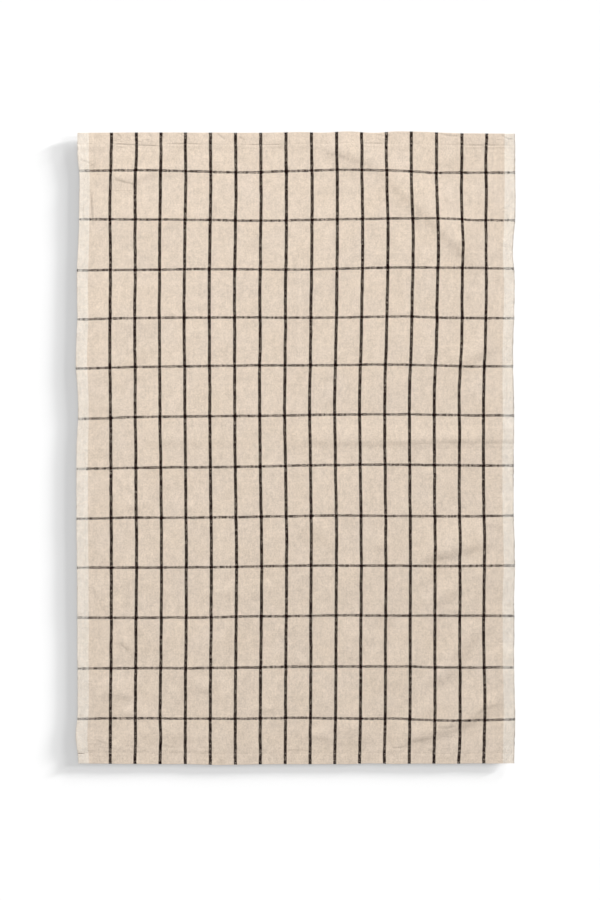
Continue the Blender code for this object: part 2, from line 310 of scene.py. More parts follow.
def through(nodes, values, at):
    """A smooth curve through a few values (Catmull-Rom), for many places at
    once. values may hold a whole row of places at each node."""
    nodes = np.asarray(nodes, float)
    values = np.asarray(values, float)
    slope = np.gradient(values, nodes, axis=0)
    at = np.clip(at, nodes[0], nodes[-1])
    k = np.clip(np.searchsorted(nodes, at, side="right") - 1, 0, len(nodes) - 2)
    step = nodes[k + 1] - nodes[k]
    t = (at - nodes[k]) / step
    if values.ndim == 1:
        v0, v1, m0, m1 = values[k], values[k + 1], slope[k] * step, slope[k + 1] * step
    else:
        cols = np.arange(values.shape[1])
        v0, v1 = values[k, cols], values[k + 1, cols]
        m0, m1 = slope[k, cols] * step, slope[k + 1, cols] * step
    return ((2 * t**3 - 3 * t**2 + 1) * v0 + (t**3 - 2 * t**2 + t) * m0
            + (-2 * t**3 + 3 * t**2) * v1 + (t**3 - t**2) * m1)


def along_table(rows, at):
    """Value at a distance along an edge, eased from row to row."""
    xs = np.array([r[0] for r in rows], float)
    vs = np.array([r[1] for r in rows], float)
    at = np.clip(at, xs[0], xs[-1])
    k = np.clip(np.searchsorted(xs, at, side="right") - 1, 0, len(xs) - 2)
    return vs[k] + (vs[k + 1] - vs[k]) * smooth((at - xs[k]) / (xs[k + 1] - xs[k]))


def noise2(x, y, cell_x, cell_y, seed):
    """Smooth value noise from -1 to 1 with cells of the given size."""
    rng = np.random.default_rng(seed)
    lattice = rng.uniform(-1, 1, (96, 96))
    fx, fy = x / cell_x + 31.7, y / cell_y + 27.3
    ix, iy = np.floor(fx).astype(int), np.floor(fy).astype(int)
    tx, ty = smooth(fx - ix), smooth(fy - iy)

    def at(i, j):
        return lattice[i % 96, j % 96]

    low = at(ix, iy) * (1 - tx) + at(ix + 1, iy) * tx
    high = at(ix, iy + 1) * (1 - tx) + at(ix + 1, iy + 1) * tx
    return low * (1 - ty) + high * ty


def crease_height(row, x, y):
    """Height of one crease over many points."""
    far = max(row.left, row.right)
    low_x, high_x = min(row.x0, row.xb, row.x1) - far, max(row.x0, row.xb, row.x1) + far
    low_y, high_y = min(row.y0, row.yb, row.y1) - far, max(row.y0, row.yb, row.y1) + far
    near = (x > low_x) & (x < high_x) & (y > low_y) & (y < high_y)
    out = np.zeros(x.shape)
    out[near] = crease_over(row, x[near], y[near])
    return out


def nearest_on(row, x, y, steps=36):
    """Distance of points from a row's curve, the side they lie on (1 to its
    left) and how far along they are, 0 to 1."""
    t = np.linspace(0, 1, steps + 1)
    cx = (1 - t) ** 2 * row.x0 + 2 * t * (1 - t) * row.xb + t**2 * row.x1
    cy = (1 - t) ** 2 * row.y0 + 2 * t * (1 - t) * row.yb + t**2 * row.y1
    best = np.full(x.shape, 1e9)
    side = np.zeros(x.shape)
    where = np.zeros(x.shape)
    for k in range(steps):
        dx, dy = cx[k + 1] - cx[k], cy[k + 1] - cy[k]
        along = ((x - cx[k]) * dx + (y - cy[k]) * dy) / (dx * dx + dy * dy)
        along = np.clip(along, 0, 1)
        ox, oy = x - cx[k] - along * dx, y - cy[k] - along * dy
        d = np.hypot(ox, oy)
        near = d < best
        best = np.where(near, d, best)
        side = np.where(near, np.where(dx * oy - dy * ox >= 0, 1.0, -1.0), side)
        where = np.where(near, (k + along) / steps, where)
    return best, side, where


def crease_over(row, x, y):
    best, side, where = nearest_on(row, x, y)
    reach = np.where(side >= 0, row.left, row.right)
    fade = np.ones(x.shape)
    if row.fade0:
        fade *= smooth(where / 0.35)
    if row.fade1:
        fade *= smooth((1 - where) / 0.35)
    shape = np.where(best < reach, 0.5 + 0.5 * np.cos(np.minimum(best / reach, 1) * pi), 0)
    return row.height * fade * shape


def fine_creases(x, y):
    """For each point, the signed distance to the nearest fine crease in half
    widths, and that crease's depth there."""
    close = np.full(x.shape, 1e9)
    signed = np.full(x.shape, 4.0)
    depth = np.zeros(x.shape)
    for row in FINE:
        low_x, high_x = min(row.x0, row.xb, row.x1) - 7, max(row.x0, row.xb, row.x1) + 7
        low_y, high_y = min(row.y0, row.yb, row.y1) - 7, max(row.y0, row.yb, row.y1) + 7
        box = (x > low_x) & (x < high_x) & (y > low_y) & (y < high_y)
        best, side, where = nearest_on(row, x[box], y[box], 20)
        take = best < close[box]
        fade = smooth(where / 0.2) * smooth((1 - where) / 0.2)
        close[box] = np.where(take, best, close[box])
        signed[box] = np.where(take, np.clip(best * side / row.half_width, -4, 4), signed[box])
        depth[box] = np.where(take, row.depth * fade, depth[box])
    return signed, depth


# ------------------------------------------------------------- cloth's shape
# The cloth's own edges against the solid's: a little more at the left, a
# little less at the other three (mm).
Trim = namedtuple("Trim", "left right top bottom")
TRIM = Trim(0.5, -1.5, -0.8, -1.1)


def mid_shift():
    """The frame's origin is the middle of the box, as in the solid."""
    ys = np.linspace(-350, 350, 400)
    xs = np.linspace(-242.5, 242.5, 300)
    left = -WIDTH / 2 - along_table(LEFT_EDGE, ys)
    right = WIDTH / 2 + along_table(RIGHT_EDGE, ys)
    top = LENGTH / 2 + along_table(TOP_EDGE, xs)
    bottom = -LENGTH / 2 - along_table(BOTTOM_EDGE, xs)
    return (left.min() + right.max()) / 2, (bottom.min() + top.max()) / 2


MID_X, MID_Y = mid_shift()


def drift(xs, ys):
    """In-plane places of a grid of cloth points given by its columns xs and
    rows ys: two arrays, one row for each y."""
    rows_y = np.array([r.y for r in WARP_DRIFT][::-1], float)
    table = np.array([r[1:] for r in WARP_DRIFT][::-1], float)
    dx = np.zeros((len(ys), len(xs)))
    left = -along_table(LEFT_EDGE, ys) - along_table(LEFT_WAVES, ys) - TRIM.left
    right = along_table(RIGHT_EDGE, ys) + along_table(RIGHT_WAVES, ys) + TRIM.right
    inner = np.stack([through(rows_y, table[:, c], ys) for c in range(table.shape[1])], 1)
    at = np.array((-WIDTH / 2,) + WARP_AT + (WIDTH / 2,), float)
    for j in range(len(ys)):
        values = np.concatenate([[left[j]], inner[j], [right[j]]])
        dx[j] = through(at, values, xs)

    rows_y = np.array([r.y for r in LINE_DRIFT][::-1], float)
    table = np.array([r[1:] for r in LINE_DRIFT][::-1], float)
    inner = np.stack([through(np.array(LINE_AT, float), table[r], xs) for r in range(len(table))])
    top = along_table(TOP_EDGE, xs) + along_table(TOP_WAVES, xs) + TRIM.top
    bottom = -along_table(BOTTOM_EDGE, xs) - along_table(BOTTOM_WAVES, xs) - TRIM.bottom
    at = np.concatenate([[-LENGTH / 2], rows_y, [LENGTH / 2]])
    values = np.concatenate([[bottom], inner, [top]])
    dy = np.zeros_like(dx)
    for j, y in enumerate(ys):
        dy[j] = through(at, values, np.full(len(xs), y))

    gx, gy = np.meshgrid(xs, ys)
    inside = smooth((WIDTH / 2 - np.abs(gx)) / 14) * smooth((LENGTH / 2 - np.abs(gy)) / 14)
    for p in PULLS:
        pull = np.exp(-((gx - p.x) / p.rx) ** 2 - ((gy - p.y) / p.ry) ** 2) * inside
        dx += p.dx * pull
        dy += p.dy * pull
    dx += inside * (0.22 * noise2(gx, gy, 22, 24, SEED + 1) + 0.12 * noise2(gx, gy, 9, 11, SEED + 2))
    dy += inside * (0.22 * noise2(gx, gy, 24, 22, SEED + 3) + 0.10 * noise2(gx, gy, 11, 9, SEED + 4))
    # the selvedge is a little uneven where the weft turns
    edge = 1 - smooth((WIDTH / 2 - np.abs(gx)) / 5)
    dx += edge * (0.22 * noise2(gx * 0.01, gy, 1, 4.5, SEED + 5) + 0.14 * noise2(gx * 0.01, gy, 1, 2.3, SEED + 6))
    return gx + dx, gy + dy


def rise(x, y, px, py):
    """Height of the cloth's underside over the table, for points at x, y on
    the straight cloth that lie at px, py."""
    rumpled = 0.75 + 0.45 * smooth((-40 - y) / 200) + 0.25 * noise2(x, y, 90, 80, SEED + 14)
    uneven = (0.28 * noise2(x, y, 60, 75, SEED + 10)
              + rumpled * (0.62 * noise2(x, y, 27, 33, SEED + 11)
                           + 0.30 * noise2(x, y, 13, 14, SEED + 12)
                           + 0.08 * noise2(x, y, 7, 8, SEED + 13)))
    calm = 0.18 + 0.82 * smooth((WIDTH / 2 + x) / 34) * smooth((LENGTH / 2 + y) / 30)
    h = REST + 0.1 + calm * uneven
    for row in CREASES:
        h = h + crease_height(row, px, py)
    left, right = WIDTH / 2 + x, WIDTH / 2 - x
    bottom, top = LENGTH / 2 + y, LENGTH / 2 - y
    corner = 1 - 0.6 * np.exp(-(left / 30) ** 2 - (bottom / 34) ** 2)
    for rows, at, inset, share, even in ((LEFT_LIFT, y, left, 0.9, 0.8), (RIGHT_LIFT, y, right, 0.8, 0.4),
                                         (BOTTOM_LIFT, x, bottom, 0.45, 0.8), (TOP_LIFT, x, top, 0.8, 0.2)):
        up = along_table(rows, at)
        h = h + corner * share * (even * np.mean([r.up for r in rows]) + (1 - even) * up) * np.clip(1 - np.clip(inset, 0, None) / LIFT_WIDTH, 0, 1) ** 2
    # the hems pucker along their stitches, more in some places than in others
    for inset, seed in ((top, SEED + 20), (bottom, SEED + 30)):
        near = np.exp(-((inset - 12) / 8.5) ** 2)
        patchy = 0.35 + 0.65 * smooth(0.5 + 0.9 * noise2(x, x * 0, 34, 1, seed))
        h = h + near * patchy * (0.17 * noise2(x, y, 5.2, 16, seed + 1) + 0.20 * noise2(x, y, 9.5, 12, seed + 2))
    # so do the borders, where the warp is tighter
    for inset, seed in ((left, SEED + 40), (right, SEED + 50)):
        near = np.exp(-((inset - 11) / 6) ** 2)
        patchy = 0.3 + 0.7 * smooth(0.5 + 0.9 * noise2(y * 0, y, 1, 40, seed))
        h = h + near * patchy * (0.11 * noise2(x, y, 18, 5.5, seed + 1) + 0.15 * noise2(x, y, 9, 11, seed + 2))
    return np.maximum(h, 0.04)


def climb(e, run):
    """How far up the hem the face is, 0 to 1, at a distance in from the end."""
    return smooth((HEM + run - e) / (run + 0.3))


def steep(x, steps):
    """Run of the drop off the hem at places across the towel."""
    run = SOFT_RUN + 1.2 * noise2(x, x * 0, 26, 1, SEED + 70) + 0.5 * noise2(x, x * 0, 8, 1, SEED + 71)
    for st in steps:
        inside = smooth((x - st.x0) / 7 + 0.5) * smooth((st.x1 - x) / 7 + 0.5)
        run = run + (st.run - run) * inside
    return np.clip(run, 1.4, HEM_RISE - 0.3)


def hem_rows():
    """The hem from where the face has climbed onto it to the tucked raw edge:
    (distance in from the folded end, layer height in layers, path length,
    whether the inside of the cloth needs this row)."""
    rows = []
    for k, e in enumerate((HEM + HEM_RISE, HEM + 6.0, HEM + 4.6, HEM + 3.4, HEM + 2.5, HEM + 1.8,
                           HEM + 1.2, HEM + 0.6, HEM, HEM - 0.6, HEM - 1.2, STITCH_AT, 11.7, 10.6,
                           9.0, 7.2, 5.4, 3.8, 2.4, 1.3)):
        level = 2 * float(climb(e, SOFT_RUN))
        rows.append([e, level, k in (0, 2, 4, 6, 8, 10, 12, 14, 16, 18)])
    r = LAYER
    for k in range(0, 9):
        a = pi / 2 - pi * k / 8
        rows.append([r - r * cos(a), 1 + sin(a), k % 2 == 0])
    for e in (2.4, 5.0, 7.8, 10.4, 12.4):
        rows.append([e, 0.0, True])
    for k in range(0, 7):
        a = pi * k / 6
        rows.append([HEM - LAYER / 2 + LAYER / 2 * sin(a), 0.5 - 0.5 * cos(a), k % 2 == 0])
    for e in (11.8, 9.0, 6.0, HEM - TUCK + 1.0):
        rows.append([e, 1.0, True])
    path, out = 0.0, []
    for k, (e, level, keep) in enumerate(rows):
        if k:
            path += np.hypot(e - rows[k - 1][0], (level - rows[k - 1][1]) * LAYER)
        out.append((e, level, path, keep))
    return out


def cloth_grid():
    """Columns, rows and the mid-surface of the whole cut cloth."""
    columns = 4 * 57
    xs = np.linspace(-WIDTH / 2, WIDTH / 2, columns + 1)
    hem = hem_rows()
    start = LENGTH / 2 - HEM - HEM_RISE
    body_steps = 4 * 73
    body = np.linspace(-start, start, body_steps + 1)[1:-1]
    ys, level, flat_v, keep = [], [], [], []
    for e, lv, path, k in reversed(hem):
        ys.append(-LENGTH / 2 + e)
        level.append(lv)
        flat_v.append(-start - path)
        keep.append(k)
    for n, y in enumerate(body):
        ys.append(y)
        level.append(0.0)
        flat_v.append(y)
        keep.append((n + 1) % 4 == 0)
    for e, lv, path, k in hem:
        ys.append(LENGTH / 2 - e)
        level.append(lv)
        flat_v.append(start + path)
        keep.append(k)
    keep[0] = keep[-1] = True
    return xs, np.array(ys), np.array(level), np.array(flat_v), np.array(keep)


def normals_of(p):
    du = np.gradient(p, axis=1)
    dv = np.gradient(p, axis=0)
    n = np.cross(du, dv)
    return n / np.linalg.norm(n, axis=2, keepdims=True)


def on_face(ys):
    """Rows between the two folded ends, none of the turned-in parts."""
    first, last = int(np.argmin(ys)), int(np.argmax(ys))
    order = np.arange(len(ys))
    return (order > min(first, last)) & (order < max(first, last))


def face_rows(ys, level):
    """Rows of the face between the flat cloth and the fold of each hem."""
    inset = LENGTH / 2 - np.abs(ys)
    return on_face(ys) & (inset < HEM + HEM_RISE + 0.1) & (inset > HEM - 2.0) & (level < 2.01)


def cloth_places(xs, ys, level):
    """The mid-surface, in mm, built on the height under the lowest layer."""
    px, py = drift(xs, ys)
    gx, gy = np.meshgrid(xs, ys)
    h = rise(gx, gy, px - MID_X, py - MID_Y)
    inset = LENGTH / 2 - np.abs(gy)
    # the face's own rows climb at a run that differs across the towel
    layers = np.repeat(level[:, None], len(xs), 1)
    face = face_rows(ys, level)
    for sign, steps in ((1, TOP_STEPS), (-1, BOTTOM_STEPS)):
        run = steep(xs, steps)
        for j in np.flatnonzero(face & (np.sign(ys) == sign)):
            layers[j] = 2 * climb(inset[j], run)
    press = 1 - 0.12 * np.exp(-((inset - STITCH_AT) / 1.0) ** 2)
    # beside a hem the cloth stands nearly as high as the hem's face and comes
    # down slowly, more so at the bottom
    share = np.where(gy > 0, 0.45, 1.35) + 0.22 * noise2(gx, gy * 0, 21, 1, SEED + 80)
    tent = share * 2 * LAYER * (1 - layers / 2) * (1 - smooth((inset - HEM) / 48))
    tent[~on_face(ys)] = 0.0
    z = h + tent + THICK / 2 + layers * LAYER * press
    return np.stack([px - MID_X, py - MID_Y, z], 2)


def zipper(a, b):
    """Triangles between two chains of (vertex, place along) that share their
    ends' places."""
    faces, i, j = [], 0, 0
    while i < len(a) - 1 or j < len(b) - 1:
        if j == len(b) - 1 or (i < len(a) - 1 and a[i + 1][1] <= b[j + 1][1]):
            faces.append((a[i][0], a[i + 1][0], b[j][0]))
            i += 1
        else:
            faces.append((a[i][0], b[j + 1][0], b[j][0]))
            j += 1
    return faces


def build_towel():
    xs, ys, level, flat_v, keep = cloth_grid()
    mid = cloth_places(xs, ys, level)
    n = normals_of(mid)
    outer = mid + n * THICK / 2
    cols = np.arange(0, len(xs), 4)
    rows = np.flatnonzero(keep)
    inner = (mid - n * THICK / 2)[np.ix_(rows, cols)]
    nr, nc = outer.shape[:2]
    mr, mc = inner.shape[:2]
    base = nr * nc

    def o(j, i):
        return j * nc + i

    def q(j, i):
        return base + j * mc + i

    J, I = np.meshgrid(np.arange(nr - 1), np.arange(nc - 1), indexing="ij")
    outer_faces = np.stack([o(J, I), o(J, I + 1), o(J + 1, I + 1), o(J + 1, I)], 2).reshape(-1, 4)
    J, I = np.meshgrid(np.arange(mr - 1), np.arange(mc - 1), indexing="ij")
    inner_faces = np.stack([q(J, I), q(J + 1, I), q(J + 1, I + 1), q(J, I + 1)], 2).reshape(-1, 4)
    # the cut and woven edges, between the two sides
    rim = []
    left_o = [(o(j, 0), j) for j in range(nr)]
    left_i = [(q(k, 0), rows[k]) for k in range(mr)]
    rim.append([tuple(reversed(f)) for f in zipper(left_i, left_o)])
    right_o = [(o(j, nc - 1), j) for j in range(nr)]
    right_i = [(q(k, mc - 1), rows[k]) for k in range(mr)]
    rim.append(zipper(right_i, right_o))
    low_o = [(o(0, i), i) for i in range(nc)]
    low_i = [(q(0, k), cols[k]) for k in range(mc)]
    rim.append(zipper(low_i, low_o))
    high_o = [(o(nr - 1, i), i) for i in range(nc)]
    high_i = [(q(mr - 1, k), cols[k]) for k in range(mc)]
    rim.append([tuple(reversed(f)) for f in zipper(high_i, high_o)])

    verts = np.concatenate([outer.reshape(-1, 3), inner.reshape(-1, 3)]) * MM
    faces = [tuple(int(v) for v in f) for f in outer_faces] + [tuple(int(v) for v in f) for f in inner_faces]
    kinds = [0] * len(outer_faces) + [1] * len(inner_faces)
    for k, strip in enumerate(rim):
        faces += [tuple(int(v) for v in f) for f in strip]
        kinds += [2 + k] * len(strip)

    mesh = bpy.data.meshes.new("tea_towel")
    mesh.from_pydata(verts.tolist(), [], faces)
    mesh.update()
    mesh.shade_smooth()

    # flat places on the cut cloth, for the weave, and a second map that lays
    # both sides and the edges out apart
    flat_u = np.concatenate([np.tile(xs, nr), np.tile(xs[cols], mr)]) + WIDTH / 2
    flat_w = np.concatenate([np.repeat(flat_v, nc), np.repeat(flat_v[rows], mc)]) + LENGTH / 2
    loops = np.zeros(len(mesh.loops), np.int32)
    mesh.loops.foreach_get("vertex_index", loops)
    sizes = np.zeros(len(mesh.polygons), np.int32)
    mesh.polygons.foreach_get("loop_total", sizes)
    kind = np.repeat(np.array(kinds), sizes)
    weave = mesh.uv_layers.new(name="cloth")
    weave.data.foreach_set("uv", np.stack([flat_u[loops] * MM, flat_w[loops] * MM], 1).ravel())
    px, py = drift(xs, ys)
    signed, depth = fine_creases(px - MID_X, py - MID_Y)
    hidden = np.abs(flat_v) > LENGTH / 2 + 1.0          # rows past the fold
    signed[hidden] = 4.0
    signed = np.concatenate([signed.ravel(), np.full(mr * mc, 4.0)])
    depth = np.concatenate([depth.ravel(), np.zeros(mr * mc)])
    folds = mesh.uv_layers.new(name="folds")
    folds.data.foreach_set("uv", np.stack([signed[loops], depth[loops]], 1).ravel())
    spread = mesh.uv_layers.new(name="OFBake")
    total = flat_v[-1] - flat_v[0]
    u = (flat_w[loops] - LENGTH / 2 - flat_v[0]) / total * 0.984 + 0.008
    across = flat_u[loops] / WIDTH
    is_inner = loops >= base
    v = np.select(
        [kind == 0, kind == 1, kind == 2, kind == 3],
        [0.006 + across * 0.684, 0.704 + across * 0.248,
         np.where(is_inner, 0.968, 0.960), np.where(is_inner, 0.980, 0.972)],
        0.0)
    short = kind >= 4
    u = np.where(short, 0.008 + across * 0.45 + np.where(kind == 5, 0.5, 0.0), u)
    v = np.where(short, np.where(is_inner, 0.992, 0.985), v)
    spread.data.foreach_set("uv", np.stack([u, v], 1).ravel())
    mesh.uv_layers.active = weave

    towel = bpy.data.objects.new("tea_towel", mesh)
    bpy.context.scene.collection.objects.link(towel)
    return towel, (xs, ys, level, outer)


# ---------------------------------------------------------------- stitches
def build_stitches(grid):
    """One row of lockstitch along each hem, on the face."""
    xs, ys, level, outer = grid
    verts, faces = [], []
    rng = np.random.default_rng(SEED + 60)
    pitch, length, radius = 3.1, 2.5, 0.14
    sides = 6
    for sign in (1, -1):
        row = int(np.argmin(np.where(level > 1.9, np.abs(ys - sign * (LENGTH / 2 - STITCH_AT)), 1e9)))
        line = outer[row]
        flat = xs + WIDTH / 2
        count = int((WIDTH - 5) / pitch)
        for k in range(count):
            u0 = 2.6 + k * pitch + rng.uniform(-0.12, 0.12)
            slant = rng.uniform(-0.12, 0.12)
            rings = []
            for m, t in enumerate((0.0, 0.14, 0.38, 0.62, 0.86, 1.0)):
                u = u0 + length * t
                p = np.array([np.interp(u, flat, line[:, c]) for c in range(3)])
                p[1] += slant * (t - 0.5)
                p[2] += 0.12 * sin(pi * t) - 0.07
                r = radius * (0.45 + 0.55 * sin(pi * min(max(t, 0.06), 0.94)))
                rings.append((p, r))
            first = len(verts)
            for p, r in rings:
                for s in range(sides):
                    a = 2 * pi * s / sides
                    verts.append(((p[0]) * MM, (p[1] + r * cos(a)) * MM, (p[2] + r * sin(a) * 0.8) * MM))
            for m in range(len(rings) - 1):
                for s in range(sides):
                    a, b = first + m * sides + s, first + m * sides + (s + 1) % sides
                    faces.append((a, b, b + sides, a + sides))
            faces.append(tuple(first + s for s in reversed(range(sides))))
            faces.append(tuple(first + (len(rings) - 1) * sides + s for s in range(sides)))
    mesh = bpy.data.meshes.new("hem_stitches")
    mesh.from_pydata(verts, [], faces)
    mesh.update()
    mesh.shade_smooth()
    obj = bpy.data.objects.new("hem_stitches", mesh)
    bpy.context.scene.collection.objects.link(obj)
    return obj


# ---------------------------------------------------------------- materials
class Nodes:
    """Short names for building a node tree."""

    def __init__(self, tree):
        self.tree = tree

    def link(self, source, socket):
        if isinstance(source, (int, float)):
            socket.default_value = source
        elif isinstance(source, tuple):
            socket.default_value = source if len(source) != 3 or socket.type == "VECTOR" else source + (1.0,)
        else:
            self.tree.links.new(source, socket)

    def math(self, op, a, b=None, c=None, clamp=False):
        node = self.tree.nodes.new("ShaderNodeMath")
        node.operation = op
        node.use_clamp = clamp
        for k, v in enumerate((a, b, c)):
            if v is not None:
                self.link(v, node.inputs[k])
        return node.outputs[0]

    def add(self, a, b):
        return self.math("ADD", a, b)

    def sub(self, a, b):
        return self.math("SUBTRACT", a, b)

    def mul(self, a, b):
        return self.math("MULTIPLY", a, b)

    def less(self, a, b):
        return self.math("LESS_THAN", a, b)

    def vector(self, x, y, z=0.0):
        node = self.tree.nodes.new("ShaderNodeCombineXYZ")
        for k, v in enumerate((x, y, z)):
            self.link(v, node.inputs[k])
        return node.outputs[0]

    def noise(self, vector, scale, detail=1.0, rough=0.5):
        node = self.tree.nodes.new("ShaderNodeTexNoise")
        self.link(vector, node.inputs["Vector"])
        node.inputs["Scale"].default_value = scale
        node.inputs["Detail"].default_value = detail
        node.inputs["Roughness"].default_value = rough
        return node.outputs["Fac"]

    def white(self, vector):
        node = self.tree.nodes.new("ShaderNodeTexWhiteNoise")
        node.noise_dimensions = "3D"
        self.link(vector, node.inputs["Vector"])
        return node.outputs["Value"]

    def ramp(self, value, low, high, to_low=0.0, to_high=1.0, kind="SMOOTHSTEP"):
        node = self.tree.nodes.new("ShaderNodeMapRange")
        node.interpolation_type = kind
        self.link(value, node.inputs["Value"])
        for name, v in (("From Min", low), ("From Max", high), ("To Min", to_low), ("To Max", to_high)):
            self.link(v, node.inputs[name])
        return node.outputs["Result"]

    def mix(self, factor, a, b):
        """Number a where factor is 0, b where it is 1."""
        node = self.tree.nodes.new("ShaderNodeMix")
        node.data_type = "FLOAT"
        self.link(factor, node.inputs[0])
        self.link(a, node.inputs[2])
        self.link(b, node.inputs[3])
        return node.outputs[0]

    def colour(self, factor, a, b, blend="MIX"):
        node = self.tree.nodes.new("ShaderNodeMix")
        node.data_type = "RGBA"
        node.blend_type = blend
        self.link(factor, node.inputs[0])
        self.link(a, node.inputs[6])
        self.link(b, node.inputs[7])
        return node.outputs[2]


FURROW_DEPTH_SHADE = 0.17    # how much less light reaches the bottom of a furrow
CREAM_WARP = (0.660, 0.557, 0.459)
CREAM_WEFT = (0.650, 0.544, 0.443)
BORDER_WARP = (0.775, 0.720, 0.645)
DARK = (0.0110, 0.0046, 0.0044)


def woven_material():
    mat = bpy.data.materials.new("woven_cotton")
    mat.use_nodes = True
    tree = mat.node_tree
    n = Nodes(tree)
    bsdf = tree.nodes["Principled BSDF"]

    uv = tree.nodes.new("ShaderNodeUVMap")
    uv.uv_map = "cloth"
    split = tree.nodes.new("ShaderNodeSeparateXYZ")
    tree.links.new(uv.outputs[0], split.inputs[0])
    u0 = n.mul(split.outputs[0], 1000.0)
    v0 = n.mul(split.outputs[1], 1000.0)
    flat = n.vector(u0, v0)

    # threads wander a little from their straight lines
    warp_wander = n.noise(n.vector(n.mul(u0, 0.06), n.mul(v0, 0.11)), 1.0, 2.0)
    weft_wander = n.noise(n.vector(n.mul(u0, 0.11), n.mul(v0, 0.06), 7.0), 1.0, 2.0)
    fray_u = n.noise(n.vector(n.mul(u0, 0.5), n.mul(v0, 0.45), 3.0), 1.0, 1.0)
    fray_v = n.noise(n.vector(n.mul(u0, 0.45), n.mul(v0, 0.5), 11.0), 1.0, 1.0)
    u = n.add(u0, n.add(n.mul(n.sub(warp_wander, 0.5), 0.9), n.mul(n.sub(fray_u, 0.5), 0.35)))
    v = n.add(v0, n.add(n.mul(n.sub(weft_wander, 0.5), 0.9), n.mul(n.sub(fray_v, 0.5), 0.35)))

    pitch_w, pitch_f = STRIPE_STEP / WARP_ENDS, LINE_STEP / WEFT_PICKS
    start_u = STRIPE_FIRST - STRIPE_ENDS / 2 * pitch_w
    start_v = LINE_FIRST - LINE_PICKS / 2 * pitch_f
    tu = n.mul(n.sub(u, start_u), 1 / pitch_w)      # counted from the first dark end
    tv = n.mul(n.sub(v, start_v), 1 / pitch_f)
    iu, iv = n.math("FLOOR", tu), n.math("FLOOR", tv)
    a = n.sub(n.sub(tu, iu), 0.5)
    b = n.sub(n.sub(tv, iv), 0.5)
    weft_up = n.math("FLOORED_MODULO", n.add(iu, iv), 2.0)   # 1 where the weft is on top

    in_u = n.mul(n.less(n.math("FLOORED_MODULO", iu, float(WARP_ENDS)), STRIPE_ENDS - 0.5),
                 n.mul(n.less(-1.5, iu), n.less(iu, WARP_ENDS * (STRIPES - 1) + STRIPE_ENDS + 0.5)))
    in_v = n.mul(n.less(n.math("FLOORED_MODULO", iv, float(WEFT_PICKS)), LINE_PICKS - 0.5),
                 n.mul(n.less(-1.5, iv), n.less(iv, WEFT_PICKS * (LINES - 1) + LINE_PICKS + 0.5)))
    edge_in = n.math("MINIMUM", u, n.sub(WIDTH, u))
    border = n.less(edge_in, BORDER)

    # how much of its cell the thread on top covers
    cell = n.vector(iu, iv, 0.5)
    odd = n.sub(n.white(cell), 0.5)
    uneven = n.sub(n.noise(n.vector(n.mul(u0, 0.36), n.mul(v0, 0.30), 19.0), 1.0, 2.0), 0.5)
    change = n.add(1.0, n.add(n.mul(odd, n.mix(in_u, 0.3, 0.7)), n.mul(uneven, n.mix(in_u, 0.5, 0.15))))
    # a thick pick shows more in a dark stripe, a thick end more in a dark line
    thick_pick = n.white(n.vector(n.math("FLOOR", n.mul(iu, 1 / WARP_ENDS)), iv, 4.5))
    thick_end = n.white(n.vector(iu, n.math("FLOOR", n.mul(iv, 1 / WEFT_PICKS)), 9.5))
    r_weft = n.mix(in_u, n.mix(border, 0.60, 0.47), n.add(0.05, n.mul(thick_pick, 0.30)))
    r_weft = n.mix(n.mul(in_v, n.sub(1.0, in_u)), r_weft, n.mix(border, 0.66, 0.50))
    r_warp = n.mix(in_v, n.mix(border, 0.60, 0.66),
                   n.mix(border, n.add(0.14, n.mul(thick_end, 0.58)), n.add(0.22, n.mul(thick_end, 0.60))))
    r_warp = n.mix(in_u, r_warp, 0.80)
    r_top = n.mul(n.mix(weft_up, r_warp, r_weft), change)
    away = n.math("SQRT", n.add(n.mul(a, a), n.mul(b, b)))
    on_top = n.less(away, r_top)
    shows_weft = n.math("ABSOLUTE", n.sub(weft_up, n.sub(1.0, on_top)))

    # fine creases, from the cloth's own map of them
    fold_uv = tree.nodes.new("ShaderNodeUVMap")
    fold_uv.uv_map = "folds"
    fold = tree.nodes.new("ShaderNodeSeparateXYZ")
    tree.links.new(fold_uv.outputs[0], fold.inputs[0])
    furrows = n.mul(n.ramp(n.math("ABSOLUTE", fold.outputs[0]), 0.0, 1.0, 1.0, 0.0), fold.outputs[1])

    # thread colours, each thread a little its own
    tone_w = n.white(n.vector(iu, 3.3, 1.7))
    tone_f = n.white(n.vector(2.1, iv, 8.9))
    streak_w = n.noise(n.vector(n.mul(u0, 0.9), n.mul(v0, 0.06), 23.0), 1.0, 2.0)
    streak_f = n.noise(n.vector(n.mul(u0, 0.06), n.mul(v0, 0.9), 29.0), 1.0, 2.0)
    warp_colour = n.colour(border, CREAM_WARP, BORDER_WARP)
    warp_colour = n.colour(in_u, warp_colour, DARK)
    weft_colour = n.colour(in_v, CREAM_WEFT, DARK)
    shown = n.colour(shows_weft, warp_colour, weft_colour)
    tone = n.mix(shows_weft, tone_w, tone_f)
    streak = n.mix(shows_weft, streak_w, streak_f)
    mottle = n.noise(n.vector(n.mul(u0, 0.022), n.mul(v0, 0.018), 31.0), 1.0, 3.0)
    fine = n.noise(n.vector(n.mul(u0, 0.14), n.mul(v0, 0.10), 37.0), 1.0, 4.0, 0.68)
    light = n.add(1.0, n.add(n.add(n.mul(n.sub(tone, 0.5), 0.05), n.mul(n.sub(streak, 0.5), 0.20)),
                             n.add(n.mul(n.sub(mottle, 0.5), 0.10), n.mul(n.sub(fine, 0.5), 0.40))))
    light = n.add(light, n.mul(odd, 0.21))
